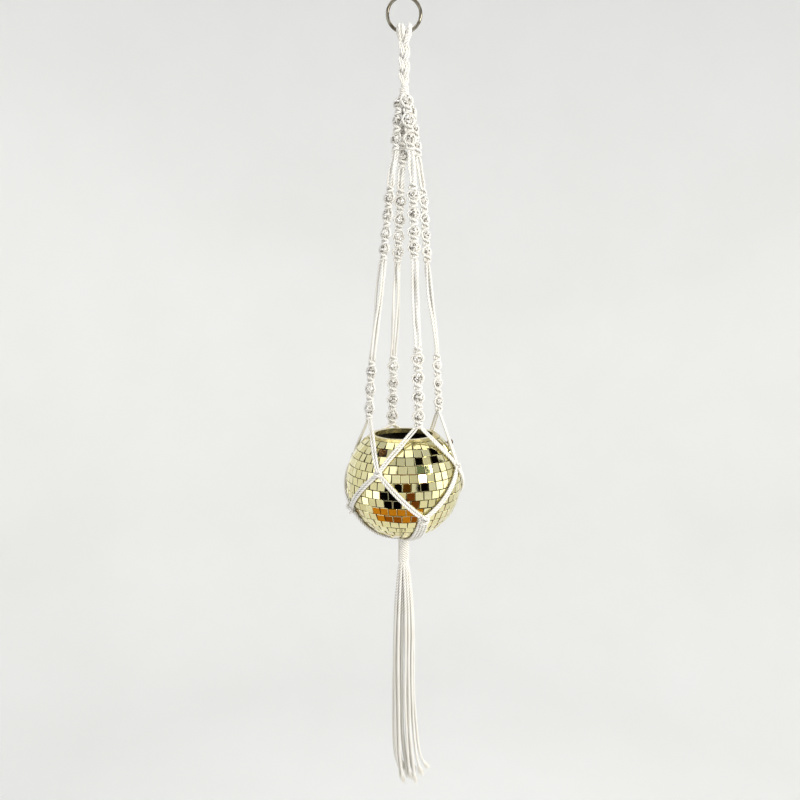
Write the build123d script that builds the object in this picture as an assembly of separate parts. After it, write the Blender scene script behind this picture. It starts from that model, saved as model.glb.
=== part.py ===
from build123d import *
import math
import os

os.makedirs("parts", exist_ok=True)

# A mirror-ball planter hanging in a knotted cotton hanger.  Millimetres, +Z up.
# The origin is where a hook carries the ring, at the inside of the ring's top.
# The ring lies in the XZ plane: +X is to its right and +Y is behind it.
# An azimuth of 0 points to the front (-Y), and 90 points to the right (+X).

# ---------------------------------------------------------------- driving dimensions
RING_OUTER_DIA = 44.5
RING_WIRE_DIA = 4.2

PLAIT_TOP_Z = -47.0
PLAIT_BOTTOM_Z = -99.0
TOP_WRAP_BOTTOM_Z = -113.0

BALL_CENTRE_Z = -596.0
BALL_RADIUS = 76.2              # to the middle of a tile's mirror face
SHELL_OUTER_RADIUS = 74.65
SHELL_WALL = 2.0
RIM_ABOVE_CENTRE = 61.0

TILE_SIDE = 10.0
TILE_THICKNESS = 1.5
TILE_ROWS = 17
FIRST_ROW_LATITUDE = 47.3
ROW_PITCH_DEG = 8.06
LAST_ROW_LATITUDE = -82.1
TILE_PITCH = 10.8

CORD_DIA = 3.2                  # cotton cord as it is pulled tight in the legs and the net
BEAD_DIA = 10.5
BEAD_HOLE_DIA = 5.0
THREADED_CORD_DIA = 4.6         # the cords that pass through a bead, as one bundle
KNOT_DIA = 8.4
FIT_GAP = 0.4                   # between the cords and the ball, and at the turning faces

NET_RADIUS = BALL_RADIUS + FIT_GAP + 0.4 + CORD_DIA / 2
UPPER_KNOT_LATITUDE = 18.5
LOWER_KNOT_LATITUDE = -24.0
BOTTOM_WRAP_DIA = 15.5
BOTTOM_WRAP_LENGTH = 33.2
TASSEL_SWING_RADIUS = 9.0       # the tassel's top is a dome of this radius

EYE_LATITUDE = FIRST_ROW_LATITUDE - ROW_PITCH_DEG
EYE_AZIMUTHS = (-27.0, 93.0, 213.0)

LEG_AZIMUTHS = {"front": 20.0, "right": 110.0, "back": 200.0, "left": 290.0}

# Bead heights for each leg, knotted by hand, so no two legs are quite alike
UPPER_BEADS = {
    "front": (-119, -143, -166),
    "right": (-128, -147, -168),
    "back": (-134, -157, -179),
    "left": (-121, -141, -164),
}
MIDDLE_BEADS = {
    "front": (-234, -256, -278, -297),
    "right": (-235, -257, -277, -298),
    "back": (-233, -256, -277, -296),
    "left": (-234, -255, -278, -297),
}
LOWER_BEADS = {
    "front": (-432, -456, -480, -504),
    "right": (-444, -468, -493),
    "back": (-448, -471, -494, -517),
    "left": (-450, -473, -498),
}
# How far a leg stands from the vertical axis, and how far the four lean to the right
LEG_STATIONS = (
    # height, radius, lean
    (-113.3, 6.8, 0.5),
    (-186.0, 16.0, 3.3),
    (-222.0, 22.0, 3.3),
    (-310.0, 30.0, 2.0),
    (-424.0, 44.5, 1.5),
    (-535.0, 50.5, 1.0),
)

# Heights at which each tassel strand's route is set, and the routes, strand by strand
TASSEL_STATIONS = (-757, -805, -855, -905, -955, -1000)
TASSEL_ROUTES = (
    ((2.4, -7.6), (2.0, -8.6), (2.9, -8.2), (2.2, -8.9), (4.1, -8.4), (7.0, -9.0), (9.5, -8.2)),
    ((6.2, -6.4), (6.9, -8.0), (6.3, -8.6), (7.4, -8.0), (9.0, -8.8), (12.6, -8.1), (16.2, -8.9)),
    ((9.3, -3.6), (11.2, -5.0), (11.8, -4.3), (11.1, -5.1), (13.6, -4.6), (18.4, -5.2), (24.0, -4.4)),
    ((10.8, 0.9), (13.9, 0.4), (14.6, 1.0), (14.0, 0.3), (17.3, 0.8), (22.6, 0.2), (29.6, 0.9)),
    ((8.0, 4.9), (10.1, 6.0), (10.7, 5.4), (10.0, 6.2), (12.6, 5.7), (17.0, 6.4), (21.8, 5.8)),
    ((3.0, 6.8), (4.2, 8.4), (3.6, 8.9), (4.6, 8.3), (6.2, 9.0), (9.6, 8.4), (13.4, 9.1)),
    ((-2.6, 6.9), (-3.2, 8.6), (-2.5, 8.1), (-3.3, 8.8), (-2.0, 8.3), (1.4, 9.0), (5.0, 8.4)),
    ((-7.2, 4.8), (-9.2, 6.1), (-8.6, 6.7), (-9.4, 6.0), (-8.4, 6.6), (-6.0, 6.1), (-3.4, 6.8)),
    ((-10.6, 0.8), (-13.6, 0.3), (-14.2, 0.9), (-14.0, 0.2), (-14.5, 0.8), (-12.6, 0.3), (-9.6, 0.9)),
    ((-9.0, -3.8), (-10.9, -5.2), (-11.5, -4.6), (-10.9, -5.3), (-11.4, -4.7), (-9.4, -5.4), (-6.2, -4.8)),
    ((-5.2, -6.6), (-6.2, -8.2), (-6.9, -8.7), (-6.2, -8.1), (-6.8, -8.8), (-4.6, -8.2), (-1.2, -8.9)),
    ((-1.6, -3.4), (-1.3, -3.9), (-1.9, -3.3), (-1.2, -4.0), (-1.8, -3.4), (1.2, -4.0), (4.4, -3.4)),
    ((4.6, -1.8), (6.1, -1.5), (6.8, -2.1), (6.2, -1.4), (7.8, -2.0), (11.6, -1.4), (15.4, -2.1)),
    ((2.2, 2.9), (2.9, 3.7), (2.3, 3.1), (3.1, 3.8), (3.9, 3.2), (7.2, 3.9), (10.6, 3.3)),
    ((-2.4, 2.6), (-3.3, 3.3), (-3.9, 2.7), (-3.2, 3.4), (-3.0, 2.8), (0.2, 3.4), (3.4, 2.9)),
    ((-4.9, -1.3), (-6.6, -1.5), (-7.2, -0.9), (-6.5, -1.6), (-7.1, -1.0), (-5.0, -1.7), (-2.0, -1.1)),
)
TASSEL_ENDS = (
    -1031, -1036, -1027, -1024, -1033, -1029, -1034, -1026,
    -1021, -1030, -1035, -1028, -1037, -1025, -1032, -1023,
)
TASSEL_OUTER_STRANDS = 11
TASSEL_OUTER_RING = 6.0
TASSEL_INNER_RING = 2.75


# ---------------------------------------------------------------- helpers
def write(node, shapes):
    """Write one node's STEP file from one shape or a list of separate ones."""
    shapes = shapes if isinstance(shapes, list) else [shapes]
    solids = [solid for shape in shapes for solid in shape.solids()]
    export_step(solids[0] if len(solids) == 1 else Compound(solids), f"parts/{node}.step")


def around(radius, azimuth, z):
    """A point at an azimuth round the vertical axis."""
    a = math.radians(azimuth)
    return Vector(radius * math.sin(a), -radius * math.cos(a), z)


def from_ball(azimuth, latitude, radius):
    """A point seen from the ball's centre."""
    lat = math.radians(latitude)
    flat = around(radius * math.cos(lat), azimuth, radius * math.sin(lat))
    return flat + Vector(0, 0, BALL_CENTRE_Z)


def ball_plane(azimuth, latitude, radius):
    """A plane that lies on the ball: its x is sideways and its z is outwards."""
    a = math.radians(azimuth)
    origin = from_ball(azimuth, latitude, radius)
    outwards = origin - Vector(0, 0, BALL_CENTRE_Z)
    return Plane(origin=origin, x_dir=(math.cos(a), math.sin(a), 0), z_dir=outwards)


def turned(profile):
    """A solid turned about Z from its half outline in radius and height."""
    face = make_face(Plane.XZ * Polyline(*profile, close=True))
    return revolve(face, Axis.Z)


def corner_radii(points, share=0.45):
    """The largest bend that each corner's two runs allow."""
    radii = []
    for before, here, after in zip(points, points[1:], points[2:]):
        run_in = here - before
        run_out = after - here
        half_turn = math.radians(run_in.get_angle(run_out)) / 2
        radii.append(share * min(run_in.length, run_out.length) / math.tan(half_turn))
    return radii


def sweep_round(path, diameter):
    """A round section swept along a path."""
    section = Plane(origin=path @ 0, z_dir=path % 0) * Circle(diameter / 2)
    return sweep(section, path=path)


def tube(points, diameter, name):
    """A cord of straight runs joined by tangent arcs; prints its tightest bend."""
    points = [Vector(*point) for point in points]
    radii = corner_radii(points)
    path = FilletPolyline(*points, radius=radii)
    solid = sweep_round(path, diameter)
    expected = math.pi * diameter**2 / 4 * path.length
    print(f"{name}: bend {min(radii):.1f} mm, length {path.length:.1f} mm, "
          f"volume {solid.volume / expected:.3f} of section x length")
    return solid


def straight(start, end, diameter):
    """A straight cord between two points."""
    return Plane(origin=start, z_dir=end - start) * Cylinder(
        diameter / 2, (end - start).length, align=(Align.CENTER, Align.CENTER, Align.MIN)
    )


# ---------------------------------------------------------------- the hanging ring
RING_MINOR = RING_WIRE_DIA / 2
RING_MAJOR = RING_OUTER_DIA / 2 - RING_MINOR
RING_CENTRE_Z = RING_MINOR - RING_MAJOR
hanging_ring = Location((0, 0, RING_CENTRE_Z), (90, 0, 0)) * Torus(RING_MAJOR, RING_MINOR)
write("hanging_ring", hanging_ring)


# ---------------------------------------------------------------- the head of the hanger
LOOP_CORD_DIA = 3.0
INNER_LOOP_REACH = 5.6          # from the wire's centre to the cord's centre, at rest
OUTER_LOOP_REACH = 9.2


def ring_loop(x_top, x_bottom, reach, y_bottom, name):
    """One cord folded over the ring: both its ends run down to the plait's top."""
    wire_z = RING_CENTRE_Z - math.sqrt(RING_MAJOR**2 - x_top**2)
    half = [
        (x_bottom, y_bottom, PLAIT_TOP_Z + 0.9),
        ((x_top + 2 * x_bottom) / 3, (reach + 2 * y_bottom) / 3, PLAIT_TOP_Z + 3.6),
        (x_top, reach, wire_z + 0.5),
        (x_top, reach * 0.98, wire_z + reach),
    ]
    front = [(x, -y, z) for x, y, z in half]
    return tube(front + half[::-1], LOOP_CORD_DIA, name)


loops = []
for x_inner in (-8.4, -4.2, 0.0, 4.2, 8.4):
    loops.append(ring_loop(x_inner, 0.79 * x_inner, INNER_LOOP_REACH, 2.2, "inner loop"))
for x_outer in (-6.3, 0.0, 6.3):
    loops.append(ring_loop(x_outer, 0.70 * x_outer, OUTER_LOOP_REACH, 5.5, "outer loop"))
write("ring_loops", loops)

# The plait: each bundle goes from side to side once while it goes front to back twice
PLAIT_STRAND_DIA = 4.8
PLAIT_SIDEWAYS = 5.5
PLAIT_DEPTH = 3.5
PLAIT_PERIOD = 54.0
PLAIT_POINTS = 13


def plait_strand(start_turn, name):
    points = []
    for i in range(PLAIT_POINTS):
        z = PLAIT_TOP_Z + (PLAIT_BOTTOM_Z - PLAIT_TOP_Z) * i / (PLAIT_POINTS - 1)
        turn = 2 * math.pi * (start_turn + (PLAIT_TOP_Z - z) / PLAIT_PERIOD)
        points.append((PLAIT_SIDEWAYS * math.sin(turn), PLAIT_DEPTH * math.sin(2 * turn), z))
    return tube(points, PLAIT_STRAND_DIA, name)


# A section cut square to the cord rises past its end, so the plait is trimmed flat
plait_room = Pos(0, 0, (PLAIT_TOP_Z + PLAIT_BOTTOM_Z) / 2) * Box(
    40, 40, PLAIT_TOP_Z - PLAIT_BOTTOM_Z
)
for letter, start_turn in (("a", 0.0), ("b", 1 / 3), ("c", 2 / 3)):
    strand = plait_strand(start_turn, f"braid_strand_{letter}")
    write(f"braid_strand_{letter}", strand & plait_room)


# ---------------------------------------------------------------- the top wrap
top_wrap = turned([
    (0, PLAIT_BOTTOM_Z - FIT_GAP),
    (5.2, PLAIT_BOTTOM_Z - FIT_GAP),
    (6.2, PLAIT_BOTTOM_Z - FIT_GAP - 1.2),
    (6.2, TOP_WRAP_BOTTOM_Z + 4),
    (9.2, TOP_WRAP_BOTTOM_Z),
    (0, TOP_WRAP_BOTTOM_Z),
])
write("top_wrap", top_wrap)


# ---------------------------------------------------------------- the four legs
def leg_point(leg, z):
    """The middle of a leg at a height."""
    for (z_a, r_a, lean_a), (z_b, r_b, lean_b) in zip(LEG_STATIONS, LEG_STATIONS[1:]):
        if z_a >= z >= z_b:
            t = (z_a - z) / (z_a - z_b)
            point = around(r_a + (r_b - r_a) * t, LEG_AZIMUTHS[leg], z)
            return point + Vector(lean_a + (lean_b - lean_a) * t, 0, 0)
    raise ValueError(f"no leg at {z}")


def bead_group(top, bottom, bead_heights, first_knot):
    """A sennit of square knots with its beads, hanging straight from top to bottom."""
    axis = bottom - top
    slope = axis.length / (top.Z - bottom.Z)
    core = THREADED_CORD_DIA / 2
    knot = KNOT_DIA / 2
    half_bead = BEAD_DIA / 2 + 0.1
    centres = [(top.Z - z) * slope for z in bead_heights]
    knots = []
    edge = 0.0 if first_knot else None
    for centre in centres:
        if edge is not None:
            knots.append((edge, centre - half_bead))
        edge = centre + half_bead
    knots.append((edge, axis.length))
    outline = [(0, 0)]
    if not first_knot:
        outline.append((core, 0))
    for start, end in knots:
        outline += [(core, start), (knot - 1, start), (knot, start + 1.4)]
        outline += [(knot, end - 1.4), (knot - 1, end), (core, end)]
    outline.append((0, axis.length))
    place = Plane(origin=top, z_dir=axis)
    sennit = place * turned(outline)
    beads = []
    for centre in centres:
        bead = Sphere(BEAD_DIA / 2) - Cylinder(BEAD_HOLE_DIA / 2, BEAD_DIA + 2)
        beads.append(place * Pos(0, 0, centre) * bead)
    return sennit, beads


def leg_run(leg, top, bottom):
    """Four cords side by side between two bead groups."""
    a = math.radians(LEG_AZIMUTHS[leg])
    sideways = Vector(math.cos(a), math.sin(a), 0) * (CORD_DIA / 2 + 0.1)
    outwards = Vector(math.sin(a), -math.cos(a), 0) * (CORD_DIA / 2 + 0.1)
    cords = []
    for side in (-1, 1):
        for depth in (-1, 1):
            shift = sideways * side + outwards * depth
            cords.append(straight(top + shift, bottom + shift, CORD_DIA))
    return cords


KNOT_LENGTH = 9.0
splits = {}
for leg in LEG_AZIMUTHS:
    sennits = []
    ends = []
    for level, heights in (
        ("upper", UPPER_BEADS[leg]), ("middle", MIDDLE_BEADS[leg]), ("lower", LOWER_BEADS[leg])
    ):
        if level == "upper":
            start_z = TOP_WRAP_BOTTOM_Z - 0.3
        else:
            start_z = heights[0] + BEAD_DIA / 2 + KNOT_LENGTH
        end_z = heights[-1] - BEAD_DIA / 2 - KNOT_LENGTH
        top = leg_point(leg, start_z)
        bottom = leg_point(leg, end_z)
        sennit, beads = bead_group(top, bottom, heights, level != "upper")
        sennits.append(sennit)
        ends += [top, bottom]
        write(f"beads_{level}_{leg}", beads)
    write(f"leg_knots_{leg}", sennits)
    runs = leg_run(leg, ends[1] - Vector(0, 0, 0.6), ends[2] + Vector(0, 0, 0.6))
    runs += leg_run(leg, ends[3] - Vector(0, 0, 0.8), ends[4] + Vector(0, 0, 0.8))
    write(f"leg_cords_{leg}", runs)
    splits[leg] = ends[5]


# ---------------------------------------------------------------- the net round the ball
BALL_CENTRE = Vector(0, 0, BALL_CENTRE_Z)
UPPER_KNOT_RADIUS = 5.0
LOWER_KNOT_RADIUS = 6.4


def net_knot(azimuth, latitude, radius):
    """A flat knot that lies on the ball."""
    blank = ball_plane(azimuth, latitude, BALL_RADIUS) * Cylinder(radius, 14)
    hide = Sphere(NET_RADIUS + CORD_DIA / 2 + 1.2) - Sphere(BALL_RADIUS + 2 * FIT_GAP)
    return blank & (Pos(0, 0, BALL_CENTRE_Z) * hide)


def net_cord(start, knot, sideways, trim):
    """A cord that comes down straight, meets the ball and follows it to a knot."""
    s = start - BALL_CENTRE
    k = knot - BALL_CENTRE
    first = s.normalized()
    normal = s.cross(k).normalized()
    second = normal.cross(first)
    touch = math.acos(NET_RADIUS / s.length)
    stop = math.radians(s.get_angle(k)) - trim / NET_RADIUS

    def at(angle):
        direction = first * math.cos(angle) + second * math.sin(angle)
        return BALL_CENTRE + direction * NET_RADIUS + normal * sideways

    begin = start + normal * sideways
    begin = begin + (at(touch) - begin).normalized() * 2.0
    line = Line(begin, at(touch))
    arc = ThreePointArc(at(touch), at((touch + stop) / 2), at(stop))
    return sweep_round(line + arc, CORD_DIA)


def arc_on_ball(start, end, sideways=0.0, trim_start=0.0, trim_end=0.0):
    """A cord that follows the ball the shortest way between two points on it."""
    s = start - BALL_CENTRE
    e = end - BALL_CENTRE
    first = s.normalized()
    normal = s.cross(e).normalized()
    second = normal.cross(first)
    span = math.radians(s.get_angle(e))
    begin = trim_start / NET_RADIUS
    stop = span - trim_end / NET_RADIUS

    def at(angle):
        direction = first * math.cos(angle) + second * math.sin(angle)
        return BALL_CENTRE + direction * NET_RADIUS + normal * sideways

    arc = ThreePointArc(at(begin), at((begin + stop) / 2), at(stop))
    return sweep_round(arc, CORD_DIA)


PAIR_HALF = CORD_DIA / 2 + 0.1
GATHER_RADIUS = 9.4
upper_cords = []
upper_knots = []
middle_cords = []
lower_knots = []
bottom_cords = []
for leg, azimuth in LEG_AZIMUTHS.items():
    a = math.radians(azimuth)
    sideways = Vector(math.cos(a), math.sin(a), 0)
    upper_knots.append(net_knot(azimuth + 45, UPPER_KNOT_LATITUDE, UPPER_KNOT_RADIUS))
    lower_knots.append(net_knot(azimuth, LOWER_KNOT_LATITUDE, LOWER_KNOT_RADIUS))
    low = from_ball(azimuth, LOWER_KNOT_LATITUDE, NET_RADIUS)
    for side in (-1, 1):
        high = from_ball(azimuth + 45 * side, UPPER_KNOT_LATITUDE, NET_RADIUS)
        leave = splits[leg] + sideways * (side * 3.6)
        for shift in (-PAIR_HALF, PAIR_HALF):
            upper_cords.append(net_cord(leave, high, shift, UPPER_KNOT_RADIUS + 0.4))
            middle_cords.append(arc_on_ball(
                high, low, shift, UPPER_KNOT_RADIUS + 0.4, LOWER_KNOT_RADIUS + 0.4
            ))
    gather_latitude = -math.degrees(math.acos((GATHER_RADIUS + 0.8) / NET_RADIUS))
    for i in range(4):
        place = i - 1.5
        start_latitude = LOWER_KNOT_LATITUDE - math.degrees(LOWER_KNOT_RADIUS / NET_RADIUS)
        spread = math.degrees(place * (CORD_DIA + 0.2) / NET_RADIUS)
        start_azimuth = azimuth + spread / math.cos(math.radians(start_latitude))
        bottom_cords.append(arc_on_ball(
            from_ball(start_azimuth, start_latitude - 0.6, NET_RADIUS),
            from_ball(azimuth + place * 22.5, gather_latitude, NET_RADIUS),
        ))
write("net_upper_cords", upper_cords)
write("net_upper_knots", upper_knots)
write("net_middle_cords", middle_cords)
write("net_lower_knots", lower_knots)
write("net_bottom_cords", bottom_cords)

GATHER_TOP_Z = BALL_CENTRE_Z - BALL_RADIUS - 2 * FIT_GAP
GATHER_BOTTOM_Z = GATHER_TOP_Z - 4.3
bottom_gather = turned([
    (0, GATHER_TOP_Z),
    (GATHER_RADIUS - 0.8, GATHER_TOP_Z),
    (GATHER_RADIUS, GATHER_TOP_Z - 0.8),
    (GATHER_RADIUS, GATHER_BOTTOM_Z + 1.5),
    (BOTTOM_WRAP_DIA / 2, GATHER_BOTTOM_Z),
    (0, GATHER_BOTTOM_Z),
])
write("bottom_gather", bottom_gather)

WRAP_END_Z = GATHER_BOTTOM_Z - BOTTOM_WRAP_LENGTH
wrap_radius = BOTTOM_WRAP_DIA / 2
bottom_wrap = turned([
    (0, GATHER_BOTTOM_Z),
    (wrap_radius, GATHER_BOTTOM_Z),
    (wrap_radius, WRAP_END_Z + 1.5),
    (wrap_radius - 1.2, WRAP_END_Z),
    (0, WRAP_END_Z),
])
write("bottom_wrap", bottom_wrap)


# ---------------------------------------------------------------- the tassel
TASSEL_AXIS_Z = WRAP_END_Z - 0.3 - TASSEL_SWING_RADIUS
inner_strands = len(TASSEL_ROUTES) - TASSEL_OUTER_STRANDS
strands = []
for i, (route, end_z) in enumerate(zip(TASSEL_ROUTES, TASSEL_ENDS)):
    if i < TASSEL_OUTER_STRANDS:
        ring = TASSEL_OUTER_RING
        azimuth = 360 * i / TASSEL_OUTER_STRANDS
    else:
        ring = TASSEL_INNER_RING
        azimuth = 360 * (i - TASSEL_OUTER_STRANDS) / inner_strands
    edge = ring + CORD_DIA / 2
    top_z = TASSEL_AXIS_Z + math.sqrt(TASSEL_SWING_RADIUS**2 - edge**2)
    points = [around(ring, azimuth, top_z)]
    for (x, y), z in zip(route, TASSEL_STATIONS + (end_z,)):
        points.append((x, y, z))
    strands.append(tube(points, CORD_DIA, f"tassel strand {i}"))
write("tassel_strands", strands)
print(f"tassel_swing axis at z = {TASSEL_AXIS_Z:.2f}")


# ---------------------------------------------------------------- the ball's shell
def shell_half(low_z, high_z):
    wall = Sphere(SHELL_OUTER_RADIUS) - Sphere(SHELL_OUTER_RADIUS - SHELL_WALL)
    slab = Pos(0, 0, (low_z + high_z) / 2) * Box(200, 200, high_z - low_z)
    return Pos(0, 0, BALL_CENTRE_Z) * (wall & slab)


EYE_SHANK_DIA = 3.0
EYE_HOLE_DIA = 3.2
PLUG_STEM_DIA = 8.0
PLUG_HOLE_DIA = 8.2

upper_shell = shell_half(0.0, RIM_ABOVE_CENTRE)
for azimuth in EYE_AZIMUTHS:
    place = ball_plane(azimuth, EYE_LATITUDE, SHELL_OUTER_RADIUS)
    upper_shell -= place * Cylinder(EYE_HOLE_DIA / 2, 12)
write("upper_shell", upper_shell)

drain = Pos(0, 0, BALL_CENTRE_Z - SHELL_OUTER_RADIUS) * Cylinder(PLUG_HOLE_DIA / 2, 12)
write("lower_shell", shell_half(-SHELL_OUTER_RADIUS - 1, -0.05) - drain)

# The trim hooks over the cut edge: an inner lip, a flat top and an outer lip
MOUTH_RADIUS = 38.4
rim_trim = turned([
    (MOUTH_RADIUS, 56.4),
    (MOUTH_RADIUS, 62.4),
    (44.3, 62.4),
    (47.6, 59.6),
    (46.6, 58.9),
    (43.6, 61.15),
    (39.4, 61.15),
    (39.4, 56.4),
])
write("rim_trim", Pos(0, 0, BALL_CENTRE_Z) * rim_trim)


# ---------------------------------------------------------------- the mirror tiles
# The tiles stand square on the shell in level rows.  A row holds as many as its length
# takes, and near the bottom as many as clear each other at their lower corners.
# The eyes' row holds a multiple of three, and each eye stands in the place of a tile.
EYE_ROW = 1


def row_latitude(row):
    if row == TILE_ROWS - 1:
        return LAST_ROW_LATITUDE
    return FIRST_ROW_LATITUDE - ROW_PITCH_DEG * row


def tiles_in_row(row):
    latitude = row_latitude(row)
    lat = math.radians(abs(latitude))
    radius = BALL_RADIUS * math.cos(lat)
    narrow_radius = radius - TILE_SIDE / 2 * math.sin(lat)
    by_length = 2 * math.pi * radius / TILE_PITCH
    by_corners = math.pi / math.atan((TILE_SIDE / 2 + 0.12) / narrow_radius)
    count = int(min(by_length, by_corners))
    if row == EYE_ROW:
        count -= count % len(EYE_AZIMUTHS)
    return count


TILE_FACE_TO_BACK = (Align.CENTER, Align.CENTER, Align.MAX)
ROW_SHIFT = 0.41                # each row starts this much of a tile past the row above
tile_count = 0
for row in range(TILE_ROWS):
    latitude = row_latitude(row)
    count = tiles_in_row(row)
    pitch = 360 / count
    start = EYE_AZIMUTHS[0] + pitch * ROW_SHIFT * (row - EYE_ROW)
    tiles = []
    for i in range(count):
        azimuth = start + pitch * i
        taken_by_eye = row == EYE_ROW and i % (count // len(EYE_AZIMUTHS)) == 0
        if not taken_by_eye:
            tile = Box(TILE_SIDE, TILE_SIDE, TILE_THICKNESS, align=TILE_FACE_TO_BACK)
            tiles.append(ball_plane(azimuth, latitude, BALL_RADIUS) * tile)
    tile_count += len(tiles)
    write(f"tile_row_{row + 1:02d}", tiles)
print(f"{tile_count} tiles")


# ---------------------------------------------------------------- chain eyes and plug
EYE_FLANGE_DIA = 9.6
EYE_RING_RADIUS = 3.2
EYE_WIRE_RADIUS = 0.8
NUT_ACROSS_FLATS = 5.5
NUT_HEIGHT = 2.4

eye_flange = Pos(0, 0, SHELL_OUTER_RADIUS + 0.1) * Cylinder(
    EYE_FLANGE_DIA / 2, 1.4, align=(Align.CENTER, Align.CENTER, Align.MIN)
)
eye_shank = Pos(0, 0, 68.6) * Cylinder(
    EYE_SHANK_DIA / 2, 7.4, align=(Align.CENTER, Align.CENTER, Align.MIN)
)
eye_ring = Location((0, 0, 79.6), (0, 90, 0)) * Torus(EYE_RING_RADIUS, EYE_WIRE_RADIUS)
eye = eye_flange + eye_shank + eye_ring
nut_top = SHELL_OUTER_RADIUS - SHELL_WALL - 0.2
nut_blank = extrude(RegularPolygon(NUT_ACROSS_FLATS / math.sqrt(3), 6), NUT_HEIGHT)
nut = Pos(0, 0, nut_top - NUT_HEIGHT) * nut_blank - Cylinder(EYE_SHANK_DIA / 2 + 0.05, 200)
eyes = []
nuts = []
for azimuth in EYE_AZIMUTHS:
    place = ball_plane(azimuth, EYE_LATITUDE, 0.001)
    eyes.append(place * eye)
    nuts.append(place * nut)
write("chain_eyes", eyes)
write("chain_eye_nuts", nuts)

PLUG_FLANGE_RADIUS = 7.0
floor_z = -(SHELL_OUTER_RADIUS - SHELL_WALL)
drain_plug = turned([
    (0, floor_z - SHELL_WALL),
    (PLUG_STEM_DIA / 2, floor_z - SHELL_WALL),
    (PLUG_STEM_DIA / 2, floor_z + 0.4),
    (PLUG_FLANGE_RADIUS, floor_z + 0.4),
    (PLUG_FLANGE_RADIUS, floor_z + 2.0),
    (2.6, floor_z + 2.4),
    (2.2, floor_z + 5.0),
    (3.0, floor_z + 6.2),
    (2.4, floor_z + 7.4),
    (0, floor_z + 7.8),
])
write("drain_plug", Pos(0, 0, BALL_CENTRE_Z) * drain_plug)
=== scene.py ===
import math
import random

import bmesh
import bpy
from mathutils import Matrix, Vector


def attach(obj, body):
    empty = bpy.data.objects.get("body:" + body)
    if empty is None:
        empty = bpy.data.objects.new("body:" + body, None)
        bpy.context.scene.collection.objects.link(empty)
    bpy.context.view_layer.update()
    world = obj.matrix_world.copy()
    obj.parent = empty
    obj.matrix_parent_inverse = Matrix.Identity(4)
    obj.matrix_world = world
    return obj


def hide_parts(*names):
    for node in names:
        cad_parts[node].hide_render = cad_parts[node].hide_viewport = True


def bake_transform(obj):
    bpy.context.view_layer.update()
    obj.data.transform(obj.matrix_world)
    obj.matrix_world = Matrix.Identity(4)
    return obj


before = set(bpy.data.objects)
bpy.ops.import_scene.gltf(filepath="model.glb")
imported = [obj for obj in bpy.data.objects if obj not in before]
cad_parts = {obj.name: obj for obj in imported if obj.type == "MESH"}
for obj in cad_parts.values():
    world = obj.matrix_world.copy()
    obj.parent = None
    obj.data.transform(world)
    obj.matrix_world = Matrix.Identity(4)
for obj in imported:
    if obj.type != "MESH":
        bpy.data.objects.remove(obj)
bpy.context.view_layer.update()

# A mirror-ball planter in a knotted cotton hanger.  Sizes are in millimetres until a
# point goes into a mesh or a curve, which is in metres.  +Z is up and -Y is the front.
MM = 0.001
dice = random.Random(11)

# ---------------------------------------------------------------- driving dimensions
CORD_DIA = 3.5                  # cotton cord, across its three plies
STRAND_DIA = 3.8                # the same cord hanging free in the tassel, and a little fuller
LAY_LENGTH = 13.0               # one full turn of the twist
LAY_STEP = 1.5                  # how finely a cord follows its route
YARNS_IN_A_CORD = 26
PLY_DEPTH = 0.26                # how deep the lay between two plies is, as a share of the radius
SECTION_POINTS = 12

RING_MAJOR = 20.15
RING_CENTRE_Z = -18.05

PLAIT_TOP_Z = -47.0
PLAIT_BOTTOM_Z = -99.0
PLAIT_PERIOD = 54.0
PLAIT_SIDEWAYS = 4.7
PLAIT_DEPTH = 3.5
TOP_WRAP_BOTTOM_Z = -113.0

BEAD_DIA = 10.5
KNOT_LENGTH = 9.0

BALL_CENTRE = Vector((0, 0, -596.0))
BALL_RADIUS = 76.2
NET_RADIUS = 78.9
PAIR_HALF = 1.85
UPPER_KNOT_LATITUDE = 18.5
LOWER_KNOT_LATITUDE = -24.0
BOTTOM_WRAP_TOP_Z = -677.3
BOTTOM_WRAP_END_Z = -710.5

LEG_AZIMUTHS = {"front": 20.0, "right": 110.0, "back": 200.0, "left": 290.0}
# Which way each leg's knots face: a hanging leg turns a little about itself
LEG_FACING = {"front": 8.0, "right": 40.0, "back": 188.0, "left": 325.0}
LEG_STATIONS = (
    (-113.3, 6.8, 0.5),
    (-186.0, 16.0, 3.3),
    (-222.0, 22.0, 3.3),
    (-310.0, 30.0, 2.0),
    (-424.0, 44.5, 1.5),
    (-535.0, 50.5, 1.0),
)
BEAD_HEIGHTS = {
    "upper": {
        "front": (-119, -143, -166),
        "right": (-128, -147, -168),
        "back": (-134, -157, -179),
        "left": (-121, -141, -164),
    },
    "middle": {
        "front": (-234, -256, -278, -297),
        "right": (-235, -257, -277, -298),
        "back": (-233, -256, -277, -296),
        "left": (-234, -255, -278, -297),
    },
    "lower": {
        "front": (-432, -456, -480, -504),
        "right": (-444, -468, -493),
        "back": (-448, -471, -494, -517),
        "left": (-450, -473, -498),
    },
}

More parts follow.
